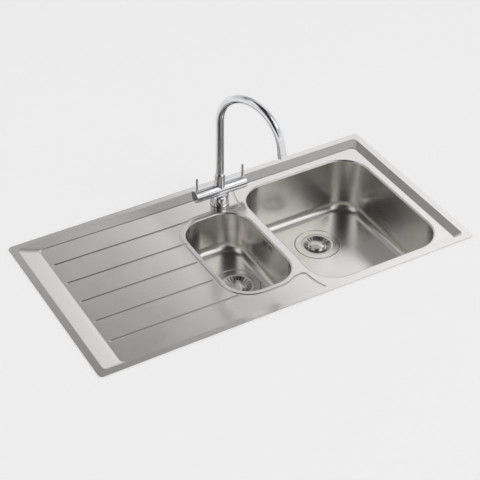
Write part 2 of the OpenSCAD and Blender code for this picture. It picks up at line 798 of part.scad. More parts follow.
// Cylinder along +X from x0 to x1 at the height of the bar
module along_bar(r, x0, x1) {
    translate([x0, 0, bar_h]) rotate([0, 90, 0]) cylinder(r = r, h = x1 - x0);
}

// Foot of the tap, with two threaded inlets, feed bores and a blind hole for the stud
module tap_foot() {
    color([0.8, 0.81, 0.83]) at_tap() difference() {
        rotate_extrude() polygon([[0, base_seal_t], [foot_r, base_seal_t], [foot_r, base_seal_t + 3],
            [foot_r - 0.8, base_seal_t + 4], [foot_r - 1.2, foot_top - 5], [foot_r - 2.5, foot_top - 1.5],
            [foot_r - 6, foot_top], [0, foot_top]]);
        along_bar(bar_r, -foot_r - 1, foot_r + 1);
        for (s = [-1, 1]) translate([s * inlet_x, inlet_y, 0]) {
            cylinder(r = inlet_r, h = base_seal_t + inlet_len);
            cylinder(r = feed_r, h = bar_h);
        }
        translate([0, stud_y, 0]) cylinder(r = stud_r, h = base_seal_t + 12);
    }
}

module tap_base_seal() {
    color([0.15, 0.15, 0.15]) at_tap() tube(foot_r - 0.5, tap_hole_r + 0.5, base_seal_t);
}

// Horizontal bar with a chamber for each cartridge and a way up to the spout
module tap_bar() {
    color([0.82, 0.83, 0.85]) at_tap() difference() {
        along_bar(bar_r, -bar_l / 2, bar_l / 2);
        for (s = [-1, 1]) mirror([s < 0 ? 1 : 0, 0, 0]) {
            along_bar(chamber_r, bar_l / 2 - chamber_l, bar_l / 2 + 1);
            translate([inlet_x, inlet_y, foot_top - feed_in]) cylinder(r = feed_r, h = bar_h - foot_top + feed_in);
        }
        along_bar(feed_r, -chamber_l, chamber_l);
        translate([0, 0, bar_h]) cylinder(r = mix_r, h = bar_r + 1);
        translate([0, 0, collar_base]) cylinder(r = spigot_r, h = 6);
    }
}

// Collar that the spout turns in, with a spigot that screws into the bar
module spout_collar() {
    color([0.82, 0.83, 0.85]) at_tap() difference() {
        union() {
            translate([0, 0, collar_base]) cylinder(r = spigot_r, h = 5);
            difference() {
                translate([0, 0, bar_h]) cylinder(r = collar_r, h = bush_top - bar_h);
                along_bar(bar_r, -collar_r - 1, collar_r + 1);
            }
        }
        translate([0, 0, collar_base - eps]) cylinder(r = mix_r, h = 10);
        translate([0, 0, tube_foot - 1]) cylinder(r = bush_r, h = bush_top - tube_foot + 2);
    }
}

// Ring that closes the collar and keeps the bush and the spout in
module collar_nut() {
    color([0.82, 0.83, 0.85]) at_tap() difference() {
        union() {
            translate([0, 0, bush_top]) cylinder(r = collar_r, h = nut_l - 1);
            translate([0, 0, collar_h - 1]) cylinder(r1 = collar_r, r2 = collar_r - 0.8, h = 1);
        }
        translate([0, 0, bush_top - eps]) cylinder(r = spout_r + 2 * run, h = nut_l + 2 * eps);
    }
}

module spout_bush() {
    color([0.9, 0.9, 0.88]) at_tap() translate([0, 0, bush_top - bush_l]) tube(bush_r, spout_r + run, bush_l);
}

// Frame of the spout: origin at the tap, +X the way that the spout points
module at_spout() {
    at_tap() rotate(spout_turn) children();
}

// Frame of the straight leg, within the spout's: origin at the end of the arch, +Z along the leg
module at_leg() {
    translate([arch_r, 0, arch_h]) rotate([0, arch_end, 0]) translate([-arch_r, 0, 0]) children();
}

// Riser, arch and straight leg; the leg is a hair thinner, so it joins inside the arch's wall
module spout_tube() {
    inner_r = spout_r - spout_t;
    color([0.83, 0.84, 0.86]) at_spout() {
        translate([0, 0, tube_foot]) tube(spout_r, inner_r, arch_h - tube_foot);
        translate([arch_r, 0, arch_h]) rotate([90, 0, 180])
            rotate_extrude(angle = arch_end) translate([arch_r, 0]) ring_section(spout_r, inner_r);
        at_leg() translate([0, 0, -eps]) tube(spout_r - leg_step, inner_r + leg_step, spout_leg + eps);
    }
}

// Two sealing rings at the foot of the spout, under the bush
module spout_rings() {
    color([0.12, 0.12, 0.12]) at_tap() for (k = [0, 1])
        translate([0, 0, tube_foot + 1 + 4 * k]) tube(packing_r, spout_r, packing_h);
}

module aerator_shell() {
    color([0.8, 0.81, 0.83]) at_spout() at_leg() translate([0, 0, spout_leg])
        tube(aerator_r, aerator_r - 1.6, aerator_l);
}

module aerator_insert() {
    r = aerator_r - 1.6;
    color([0.75, 0.75, 0.76]) at_spout() at_leg() translate([0, 0, spout_leg + aerator_l - 7])
        difference() {
            cylinder(r = r, h = 6);
            for (n = [4, 8]) for (i = [0:n - 1]) rotate(360 * i / n)
                translate([r * n / 11, 0, -eps]) cylinder(r = r / 9, h = 6 + 2 * eps, $fn = 16);
        }
}

// Mirrors a right-hand piece of the bar to the left
module on_side(s) {
    at_tap() mirror([s < 0 ? 1 : 0, 0, 0]) children();
}

// Quarter-turn valve in the end of the bar
module cartridge(s) {
    color([0.72, 0.6, 0.35]) on_side(s) difference() {
        union() {
            along_bar(chamber_r, bar_l / 2 - cartridge_l, bar_l / 2);
            along_bar(neck_r, bar_l / 2, bar_l / 2 + neck_l);
        }
        along_bar(spindle_r + run, spindle_x0 - 1, handle_x1);
        along_bar(feed_r, bar_l / 2 - cartridge_l - 1, spindle_x0);
        translate([bar_l / 2 - cartridge_l + 5, -chamber_r - 1, bar_h - 2]) cube([5, 2 * chamber_r + 2, 4]);
    }
}

// Spindle that a handle turns
module spindle(s) {
    color([0.75, 0.63, 0.38]) on_side(s) along_bar(spindle_r, spindle_x0, spindle_x1);
}

module handle(s) {
    color([0.82, 0.83, 0.85]) on_side(s) difference() {
        union() {
            along_bar(bar_r, handle_x0, handle_x1 - 0.8);
            translate([handle_x1 - 0.8, 0, bar_h]) rotate([0, 90, 0]) cylinder(r1 = bar_r, r2 = bar_r - 0.8, h = 0.8);
        }
        along_bar(handle_bore_r, handle_x0 - eps, handle_x0 + handle_bore_l);
        along_bar(spindle_r, handle_x0, spindle_x1);
        translate([pin_at, 0, bar_h + pin_foot]) cylinder(r = pin_r, h = bar_r);
    }
}

// Upright lever pin of a handle
module lever_pin(s) {
    tip = bar_h + bar_r + pin_len;
    color([0.8, 0.81, 0.83]) on_side(s) translate([pin_at, 0, 0]) {
        translate([0, 0, bar_h + pin_foot]) cylinder(r = pin_r, h = tip - 0.6 - bar_h - pin_foot);
        translate([0, 0, tip - 0.6]) cylinder(r1 = pin_r, r2 = pin_r - 0.6, h = 0.6);
    }
}

module cartridge_left() { cartridge(-1); }
module cartridge_right() { cartridge(1); }
module spindle_left() { spindle(-1); }
module spindle_right() { spindle(1); }
module handle_left() { handle(-1); }
module handle_right() { handle(1); }
module lever_pin_left() { lever_pin(-1); }
module lever_pin_right() { lever_pin(1); }

module tap_stud() {
    color([0.7, 0.68, 0.55]) at_tap() translate([0, stud_y, -stud_len])
        cylinder(r = stud_r, h = stud_len + base_seal_t + 12);
}

// Horseshoe that clears the two inlets and takes the stud
module horseshoe(t) {
    linear_extrude(t) difference() {
        circle(washer_r);
        translate([-inlet_x - inlet_r - 2, inlet_y - inlet_r - 2]) square([2 * (inlet_x + inlet_r + 2), 2 * washer_r]);
        translate([0, stud_y]) circle(stud_r + run);
    }
}

module tap_rubber_washer() {
    color([0.12, 0.12, 0.12]) at_tap() translate([0, 0, -sheet_t - washer_t]) horseshoe(washer_t);
}

module tap_clamp_plate() {
    color([0.62, 0.62, 0.64]) at_tap() translate([0, 0, -sheet_t - washer_t - plate_t]) horseshoe(plate_t);
}

module tap_nut() {
    color([0.72, 0.66, 0.45]) at_tap() translate([0, stud_y, -sheet_t - washer_t - plate_t - nut_h]) difference() {
        cylinder(r = nut_r, h = nut_h, $fn = 6);
        translate([0, 0, -eps]) cylinder(r = stud_r, h = nut_h + 2 * eps, $fn = 64);
    }
}

sink_top();
main_bowl();
half_bowl();
rim_seal();
clip_rails();
fixing_clips();
clip_pads();
clip_screws();
sound_pads();
strainer_cup_main();
top_seal_main();
waste_gasket_main();
waste_body_main();
waste_bolt_main();
basket_main();
basket_seal_main();
basket_knob_main();
strainer_cup_half();
top_seal_half();
waste_gasket_half();
waste_body_half();
waste_bolt_half();
basket_half();
basket_seal_half();
basket_knob_half();
overflow_cover();
overflow_screw();
overflow_gasket();
overflow_elbow();
overflow_pipe();
tap_foot();
tap_base_seal();
tap_bar();
spout_collar();
collar_nut();
spout_bush();
spout_tube();
spout_rings();
aerator_shell();
aerator_insert();
cartridge_left();
cartridge_right();
spindle_left();
spindle_right();
handle_left();
handle_right();
lever_pin_left();
lever_pin_right();
tap_stud();
tap_rubber_washer();
tap_clamp_plate();
tap_nut();
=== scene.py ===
"""Kitchen sink with drainer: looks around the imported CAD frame.

The sink's lengths are in millimetres until make() turns them into metres. The floor, lights and camera are in metres.
"""

import json
import math

import bpy
import numpy as np
from mathutils import Matrix, Vector
from mathutils.geometry import delaunay_2d_cdt


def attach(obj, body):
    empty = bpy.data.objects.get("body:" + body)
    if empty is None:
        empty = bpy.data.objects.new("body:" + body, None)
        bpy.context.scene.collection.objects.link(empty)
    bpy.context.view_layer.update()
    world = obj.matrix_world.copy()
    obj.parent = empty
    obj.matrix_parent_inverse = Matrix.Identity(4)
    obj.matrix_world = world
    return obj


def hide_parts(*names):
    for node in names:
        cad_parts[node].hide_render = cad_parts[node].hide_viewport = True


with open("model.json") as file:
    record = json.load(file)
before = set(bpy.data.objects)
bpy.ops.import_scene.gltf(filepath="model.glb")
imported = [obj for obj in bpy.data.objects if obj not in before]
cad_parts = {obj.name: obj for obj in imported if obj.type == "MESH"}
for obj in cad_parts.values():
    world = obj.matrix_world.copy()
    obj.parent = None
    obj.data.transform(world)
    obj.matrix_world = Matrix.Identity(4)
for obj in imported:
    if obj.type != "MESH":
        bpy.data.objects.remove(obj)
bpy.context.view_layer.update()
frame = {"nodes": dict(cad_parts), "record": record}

# Sizes of the pressed top, the same as in the part's source
SINK_W, SINK_D, RIM_R, RIM_H, SHEET = 1000.0, 510.0, 12.0, 1.8, 0.8
FLANGE = 18.0
DRAIN_DROP, DECK_DROP = 5.0, 10.0
DECK = RIM_H - DECK_DROP
HOLLOW_X, HOLLOW_Y, HOLLOW_R = SINK_W / 2 - FLANGE, SINK_D / 2 - FLANGE, 12.0
SLOPE_LEFT, SLOPE_RIGHT, SLOPE_FRONT, SLOPE_BACK = 45, 18, 5, 24
X0, X1 = -HOLLOW_X + SLOPE_LEFT, HOLLOW_X - SLOPE_RIGHT
Y0, Y1 = -HOLLOW_Y + SLOPE_FRONT, HOLLOW_Y - SLOPE_BACK
TILT_END, TILT_BEND = -135.5, 0.05
TAP, TAP_HOLE = (37.0, 176.0), 17.5

# Bowls: middle, width, length, corner radius, height of the floor, and middle of the waste
MAIN = dict(x=267.0, y=-15.0, w=352.0, l=406.0, r=72.0, floor=RIM_H - 160, wx=267.0, wy=70.0)
HALF = dict(x=-20.0, y=-12.0, w=172.0, l=298.0, r=65.0, floor=RIM_H - 118, wx=-20.0, wy=-12.0)
MOUTH_R, FILLET_R, DRAFT = 4.0, 25.0, 6.0
SEAT_R, SEAT_D, WASTE_HOLE = 58.0, 2.5, 45.0
# Opening behind the overflow's cover, in the half bowl's right wall
OVERFLOW = dict(y=(-37.5, 13.5), z=(-32.7, -21.7), right_of=0.0)

# Grooves of the drainer: distance between them, place of the middle one, distance from the left slope and width
GROOVE_PITCH, GROOVE_MIDDLE, GROOVE_GAP, GROOVE_W = 75.4, -5, 8, 6
GROOVES_Y = [GROOVE_MIDDLE + k * GROOVE_PITCH for k in (-2, -1, 0, 1, 2)]
GROOVE_X0 = X0 + GROOVE_GAP + GROOVE_W / 2
# Pressed line: distance from the half bowl, place of its straight link, and radius of its sweep to the front and back
LINE_GAP, LINE_SIDE, LINE_SWEEP = 15, 10, 160.0

# Finer forms than the solids have: depth, half width and width of the wall of a groove and of the pressed line,
# and the roundings and the crease of the slopes
GROOVE_D, GROOVE_HALF, GROOVE_WALL = 1.5, 3.7, 2.8
LINE_D, LINE_HALF, LINE_WALL, LINE_R = 1.15, 2.9, 2.1, 0.4
EDGE_R, BROW_R, CREASE_R, CREASE_W, CREASE_D = 0.9, 1.2, 0.5, 2.1, 1.1

# How finely the meshes follow the forms
LINE_TRACE, LINE_STEP, LINE_SMOOTH = 1.5, 3.0, 4
PRESS_ROWS, PRESS_MARGIN, GROOVE_STEPS = 10, 0.05, 26
GRID_STEP, GRID_CLEAR = 14, 7
CIRCLE_STEPS = 48
NORMAL_STEP = 0.05
# Distance from the floor's outline to the rows along the pressed line and to the grid: left, right, front, back
ROW_INSET, GRID_INSET = (0.5, 0.5, 0.3, 0.5), (8, 4, 6, 4)
# How far the pressed line runs past the floor's back and front, and a groove past the pressed line's centre
LINE_PAST_BACK, LINE_PAST_FRONT, GROOVE_PAST = 4, 3, 2
# Flat ring round a bowl's mouth that belongs to the bowl, and the gap that keeps it from the mouth's rounding
MOUTH_LAND, MOUTH_GAP = 1.0, 0.02


class Nodes:
    """Short calls for building the nodes of a material or of the world."""

    def __init__(self, owner):
        owner.use_nodes = True
        self.t = owner.node_tree
        self.b = self.t.nodes.get("Principled BSDF")

    def put(self, socket, value):
        """Links an output to the socket, or sets the socket to a plain value."""
        if hasattr(value, "is_output"):
            self.t.links.new(value, socket)
        else:
            socket.default_value = value

    def add(self, kind, **inputs):
        n = self.t.nodes.new(kind)
        for k, v in inputs.items():
            self.put(n.inputs[k.replace("_", " ")], v)
        return n

    def where(self, scale):
        c = self.t.nodes.new("ShaderNodeTexCoord")
        return self.add("ShaderNodeMapping", Scale=scale, Vector=c.outputs["Object"]).outputs["Vector"]

    def noise(self, scale, detail=3.0, rough=0.55):
        n = self.add("ShaderNodeTexNoise", Vector=self.where(scale), Scale=1.0, Detail=detail, Roughness=rough)
        return n.outputs["Fac"]

    def remap(self, value, low, high, frm=0.3, to=0.7):
        n = self.add("ShaderNodeMapRange", Value=value, From_Min=frm, From_Max=to, To_Min=low, To_Max=high)
        return n.outputs["Result"]

    def soften(self, value, low, high):
        """0 below low, 1 above high, and smooth between them."""
        n = self.add("ShaderNodeMapRange", Value=value, From_Min=low, From_Max=high)
        n.interpolation_type = "SMOOTHSTEP"
        return n.outputs["Result"]

    def ramp(self, value, levels):
        """Colours at given places of the value's range."""
        n = self.add("ShaderNodeValToRGB", Fac=value)
        while len(n.color_ramp.elements) < len(levels):
            n.color_ramp.elements.new(0.5)
        for e, (at, colour) in zip(n.color_ramp.elements, levels):
            e.position = at
            e.color = (*colour, 1)
        return n.outputs["Color"]

    def calc(self, operation, *values):
        n = self.t.nodes.new("ShaderNodeMath")
        n.operation = operation
        for socket, value in zip(n.inputs, values):
            self.put(socket, value)
        return n.outputs[0]

    def sum(self, a, b):
        return self.calc("ADD", a, b)

    def bump(self, value, distance, strength=1.0):
        n = self.add("ShaderNodeBump", Height=value, Distance=distance, Strength=strength)
        self.set("Normal", n.outputs["Normal"])

    def set(self, socket, value):
        self.put(self.b.inputs[socket], value)


def material(name, base, rough, metal=1.0):
    m = bpy.data.materials.new(name)
    n = Nodes(m)
    n.set("Base Color", (*base, 1))
    n.set("Roughness", rough)
    n.set("Metallic", metal)
    return m, n


def times(colour, factor):
    return tuple(min(c * factor, 1) for c in colour)


def brushed(name, base, rough, scale):
    """Steel sheet with a fine directional grain and soft blotches."""
    m, n = material(name, base, rough)
    streak = n.noise(scale, detail=2.0, rough=0.5)
    grain = n.noise(tuple(c * 3.5 for c in scale), detail=2.0, rough=0.5)
    cloud = n.noise((9.0, 9.0, 9.0), detail=2.0)
    shade = n.sum(n.remap(streak, 0.0, 0.5), n.remap(cloud, 0.0, 0.5))
    n.set("Base Color", n.ramp(shade, [(0.2, times(base, 0.965)), (0.8, times(base, 1.03))]))
    n.set("Roughness", n.sum(n.remap(grain, rough - 0.02, rough + 0.02), n.remap(cloud, -0.012, 0.012)))
    n.bump(grain, 0.0000022)
    return m


def polished(name, base, rough, smudge):
    """Smooth metal with faint smudges."""
    m, n = material(name, base, rough)
    cloud = n.noise((60.0, 60.0, 60.0), detail=4.0, rough=0.6)
    fine = n.noise((900.0, 900.0, 900.0), detail=2.0)
    n.set("Roughness", n.sum(n.remap(cloud, rough, rough + smudge), n.remap(fine, 0.0, 0.008)))
    n.set("Base Color", n.ramp(cloud, [(0.3, times(base, 0.975)), (0.7, base)]))
    return m


def grainy(name, base, rough, metal, size, depth, vary, specular=None):
    """Moulded plastic, rubber or plated metal with a fine grain and a slight change of shade."""
    m, n = material(name, base, rough, metal)
    if specular is not None:
        n.set("Specular IOR Level", specular)
    fine = n.noise((size, size, size))
    cloud = n.noise((25.0, 25.0, 25.0))
    n.set("Base Color", n.ramp(cloud, [(0.3, times(base, 1 - vary)), (0.7, times(base, 1 + vary))]))
    both = n.sum(n.remap(fine, 0, 0.5), n.remap(cloud, 0, 0.5))
    n.set("Roughness", n.remap(both, rough - 0.06, rough + 0.06, 0, 1))
    n.bump(fine, depth, 0.6)
    return m


SLOTS = {
    "steel_top": brushed("steel_top", (0.705, 0.685, 0.675), 0.18, scale=(5.0, 700.0, 700.0)),
    "steel_bowl": brushed("steel_bowl", (0.735, 0.720, 0.695), 0.24, scale=(5.0, 5.0, 60.0)),
    "steel_fitting": polished("steel_fitting", (0.72, 0.71, 0.68), 0.20, smudge=0.05),
    "chrome_tap": polished("chrome_tap", (0.80, 0.81, 0.83), 0.06, smudge=0.03),
    "zinc_steel": grainy("zinc_steel", (0.60, 0.60, 0.62), 0.38, metal=1.0, size=300.0, depth=0.00004, vary=0.08),
    "brass_inner": grainy("brass_inner", (0.70, 0.56, 0.30), 0.34, metal=1.0, size=400.0, depth=0.00003, vary=0.06),
    "rubber_black": grainy("rubber_black", (0.030, 0.030, 0.032), 0.7, metal=0.0, size=700.0, depth=0.00006, vary=0.2,
                           specular=0.3),
    "plastic_white": grainy("plastic_white", (0.76, 0.76, 0.74), 0.42, metal=0.0, size=500.0, depth=0.00003,
                            vary=0.03),
}
for part in frame["record"]["subparts"]:
    if part["node"] in frame["nodes"]:
        data = frame["nodes"][part["node"]].data
        data.materials.clear()
        data.materials.append(SLOTS[part["material_slot"]])


def unit(vectors):
    return vectors / np.linalg.norm(vectors, axis=1, keepdims=True)


def make(name, verts, faces, normals, slot, body, nodes=()):
    """One smooth mesh from millimetre points with a normal for each point."""
    me = bpy.data.meshes.new(name)
    me.from_pydata((np.asarray(verts) / 1000).tolist(), [], [tuple(int(i) for i in f) for f in faces])
    me.polygons.foreach_set("use_smooth", [True] * len(me.polygons))
    me.normals_split_custom_set_from_vertices(unit(np.asarray(normals, float)).tolist())
    me.materials.append(SLOTS[slot])
    o = bpy.data.objects.new(name, me)
    bpy.context.scene.collection.objects.link(o)
    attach(o, body)
    if nodes:
        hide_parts(*nodes)
    return o


class Shell:
    """Collects surfaces, each with its own points and normals."""

    def __init__(self):
        self.v, self.n, self.f, self.count = [], [], [], 0

    def add(self, verts, normals, faces):
        self.v.append(np.asarray(verts, float))
        self.n.append(np.asarray(normals, float))
        self.f += [tuple(i + self.count for i in f) for f in faces]
        self.count += len(verts)

    def both(self, verts, normals, faces):
        """The surface, and its other side, which lies the sheet's thickness behind it."""
        verts, normals = np.asarray(verts, float), unit(np.asarray(normals, float))
        self.add(verts, normals, faces)
        self.add(verts - normals * SHEET, -normals, [tuple(reversed(f)) for f in faces])

    def make(self, name, slot, body, nodes):
        return make(name, np.vstack(self.v), self.f, np.vstack(self.n), slot, body, nodes)


def rounded(x0, x1, y0, y1, r, nc=14, nx=60, ny=30):
    """Points of a rounded rectangle, anticlockwise, and its outward normals.

    Each corner has nc steps, each long side nx and each short side ny, whatever the size.
    """
    pts, out = [], []
    corners = [(x1 - r, y1 - r, 0), (x0 + r, y1 - r, 90), (x0 + r, y0 + r, 180), (x1 - r, y0 + r, 270)]
    for k, (cx, cy, a0) in enumerate(corners):
        for i in range(nc + 1):
            a = math.radians(a0 + 90 * i / nc)
            pts.append((cx + r * math.cos(a), cy + r * math.sin(a)))
            out.append((math.cos(a), math.sin(a)))
        px, py = pts[-1]
        a1 = math.radians(a0 + 90)
        nxt = corners[(k + 1) % 4]
        qx, qy = nxt[0] + r * math.cos(a1), nxt[1] + r * math.sin(a1)
        n = nx if k in (0, 2) else ny
        for i in range(1, n):
            pts.append((px + (qx - px) * i / n, py + (qy - py) * i / n))
            out.append((math.cos(a1), math.sin(a1)))
    return np.array(pts), np.array(out)


def bowl_outline(b, g):
    """A bowl's opening, grown by g on each side."""
    x, y, w, l = b["x"], b["y"], b["w"] / 2, b["l"] / 2
    return rounded(x - w - g, x + w + g, y - l - g, y + l + g, b["r"] + g, 20, 10, 20)


def strips(levels, n):
    """Quads between neighbouring closed loops of n points."""
    faces = []
    for k in range(levels - 1):
        for i in range(n):
            j = (i + 1) % n
            faces.append((k * n + i, k * n + j, (k + 1) * n + j, (k + 1) * n + i))
    return faces


def bend(t, a):
    """0 before t = 0 and t after it, with the corner rounded over a each way."""
    return np.where(t <= -a, 0.0, np.where(t >= a, t, (t + a) ** 2 / (4 * a)))


def blend_step(u, a):
    """A ramp from 0 at u = 0 to 1 at u = 1 with rounded corners."""
    return bend(u, a) - bend(u - 1, a)


def slope_step(u, reach, width, depth):
    """Share of a slope's depth at u across it: an even fall that ends in a short steeper crease at its foot."""
    brow, crease, last, deep = BROW_R / reach, CREASE_R / width, CREASE_W / width, CREASE_D / depth
    first, second = (1 - deep) / (1 - last), deep / last
    return first * bend(u, brow) + (second - first) * bend(u - 1 + last, crease) - second * bend(u - 1, crease)


def drop(x):
    """Depth of the hollow's floor below the rim at x: the drainer's fall, then the level deck."""
    fall = (np.asarray(x, float) - X0) / (TILT_END - X0)
    return DRAIN_DROP + (DECK_DROP - DRAIN_DROP) * blend_step(fall, TILT_BEND)


def resample(line, step):
    """The polyline with points at even distances."""
    d = np.r_[0, np.cumsum(np.linalg.norm(np.diff(line, axis=0), axis=1))]
    s = np.linspace(0, d[-1], max(int(d[-1] / step), 2))
    return np.stack([np.interp(s, d, line[:, k]) for k in (0, 1)], 1)


def smoothed(line, width):
    """The polyline as the running mean of 2 width + 1 points."""
    pad = np.vstack([np.repeat(line[:1], width, 0), line, np.repeat(line[-1:], width, 0)])
    share = np.ones(2 * width + 1) / (2 * width + 1)
    return np.stack([np.convolve(pad[:, k], share, "valid") for k in (0, 1)], 1)


def press_line():
    """Centre of the pressed line around the half bowl and away to the front and the back."""
    hx, hy = HALF["x"], HALF["y"]
    rx, ry, rr = HALF["w"] / 2 + LINE_GAP, HALF["l"] / 2 + LINE_GAP, HALF["r"] + LINE_GAP
    link, step = hx + HALF["w"] / 2 + LINE_SIDE, HALF["l"] / 2
    cx, cy = hx + rx - rr, ry - rr
    a0 = math.asin((step - cy) / rr)
    # back half: the sweep from beyond the deck's edge, the link, and the way round the bowl to its left
    half = []
    for y in np.linspace(Y1 + LINE_PAST_BACK - hy, step, 40):
        s = (y - step) / LINE_SWEEP
        half.append((link + LINE_SWEEP * (1 - math.sqrt(1 - s * s)), hy + y))
    for x in np.linspace(link, cx + rr * math.cos(a0), 14)[1:]:
        half.append((x, hy + step))
    for a in np.linspace(a0, math.pi / 2, 20)[1:]:
        half.append((cx + rr * math.cos(a), hy + cy + rr * math.sin(a)))
    for x in np.linspace(cx, hx - rx + rr, 14)[1:]:
        half.append((x, hy + ry))
    for a in np.linspace(math.pi / 2, math.pi, 40)[1:]:
        half.append((hx - rx + rr + rr * math.cos(a), hy + cy + rr * math.sin(a)))
    half.append((hx - rx, hy))
    # front half: the mirror image, cut off just beyond the deck's edge
    half = np.array(half)
    other = half[::-1][1:].copy()
    other[:, 1] = 2 * hy - other[:, 1]
    line = np.vstack([half, other])
    line = resample(line[line[:, 1] > Y0 - LINE_PAST_FRONT], LINE_TRACE)
    return resample(smoothed(smoothed(line, LINE_SMOOTH), LINE_SMOOTH), LINE_STEP)


LINE = press_line()


def groove_end(y):
    """Where the groove at y meets the pressed line on its left side."""
    left = LINE[LINE[:, 0] < HALF["x"]]
    return float(left[np.abs(left[:, 1] - y).argmin(), 0])


GROOVES = [np.array([(GROOVE_X0, y), (groove_end(y), y)]) for y in GROOVES_Y]


def distance(points, line):
    """Distance of each point to a polyline."""
    best = np.full(len(points), 1e9)
    a, b = line[:-1], line[1:]
    ab = b - a
    length = (ab ** 2).sum(1)
    for k in range(0, len(points), 2000):
        p = points[k:k + 2000][:, None, :]
        t = np.clip(((p - a) * ab).sum(2) / length, 0, 1)
        best[k:k + 2000] = np.sqrt((((a + ab * t[..., None]) - p) ** 2).sum(2)).min(1)
    return best


def hump(d, half, wall):
    """Section of a pressed line: 1 over its flat bottom, and down to 0 over the width of its even wall."""
    return np.clip(blend_step((half - d) / wall, LINE_R / wall), 0, 1)


def floor_height(p):
    """Height of the visible side of the hollow's floor at each point. The fourth powers blend lines that cross."""
    cut = (LINE_D * hump(distance(p, LINE), LINE_HALF, LINE_WALL)) ** 4
    for g in GROOVES:
        cut = cut + (GROOVE_D * hump(distance(p, g), GROOVE_HALF, GROOVE_WALL)) ** 4
    return RIM_H - drop(p[:, 0]) - cut ** 0.25


def floor_normals(p):
    e = NORMAL_STEP
    dx = (floor_height(p + (e, 0)) - floor_height(p - (e, 0))) / (2 * e)
    dy = (floor_height(p + (0, e)) - floor_height(p - (0, e))) / (2 * e)
    return np.stack([-dx, -dy, np.ones(len(p))], 1)


def inside(p, loop):
    """Whether each point lies inside a closed polyline."""
    a, b = loop, np.roll(loop, -1, 0)
    res = np.zeros(len(p), bool)
    for (x0, y0), (x1, y1) in zip(a, b):
        if y0 == y1:
            continue
        cross = (p[:, 1] > y0) != (p[:, 1] > y1)
        res ^= cross & (p[:, 0] < x0 + (p[:, 1] - y0) * (x1 - x0) / (y1 - y0))
    return res


def rim_loops():
    """The turned-down edge, its rounding and the flat flange: loops of points, and their normals."""
    section = [(0, 0.0, 0), (0, RIM_H - EDGE_R, 0)]
    for tilt in (15, 30, 45, 60, 75, 90):
        t = math.radians(tilt)
        section.append((EDGE_R * (1 - math.cos(t)), RIM_H - EDGE_R + EDGE_R * math.sin(t), tilt))
    loops, normals = [], []
    for inset, z, tilt in section:
        x, y = SINK_W / 2 - inset, SINK_D / 2 - inset
        pts, out = rounded(-x, x, -y, y, RIM_R - inset)
        c, s = math.cos(math.radians(tilt)), math.sin(math.radians(tilt))
        loops.append(np.c_[pts, np.full(len(pts), z)])
        normals.append(np.c_[out * c, np.full(len(pts), s)])
    return loops, normals


def slope_loops():
    """A ruled strip from the hollow's top outline to its floor's outline: loops of points, and their normals."""
    top, _ = rounded(-HOLLOW_X, HOLLOW_X, -HOLLOW_Y, HOLLOW_Y, HOLLOW_R)
    foot, outward = rounded(X0, X1, Y0, Y1, HOLLOW_R)
    width = np.abs(((foot - top) * outward).sum(1))
    reach = np.linalg.norm(foot - top, axis=1)

    def at(u):
        p = top + (foot - top) * u[:, None]
        depth = drop(p[:, 0])
        return np.c_[p, RIM_H - depth * slope_step(u, reach, width, depth)]

    # close together over the brow and the crease, and wide apart between them
    levels = [BROW_R * t / reach for t in np.linspace(-1, 1, 9)]
    start, stop = BROW_R / reach, 1 - (CREASE_W + CREASE_R) / width
    levels += [start + (stop - start) * t for t in np.linspace(0, 1, 7)[1:-1]]
    levels += [1 + (CREASE_R - (CREASE_W + 2 * CREASE_R) * t) / width for t in np.linspace(1, 0, 16)]
    loops, normals = [], []
    for u in levels:
        p = at(u)
        across = at(u + 1e-3) - at(u - 1e-3)
        around = np.roll(p, -1, 0) - np.roll(p, 1, 0)
        nn = np.cross(across, around)
        loops.append(p)
        normals.append(unit(nn * np.sign(nn[:, 2:3])))
    return loops, normals


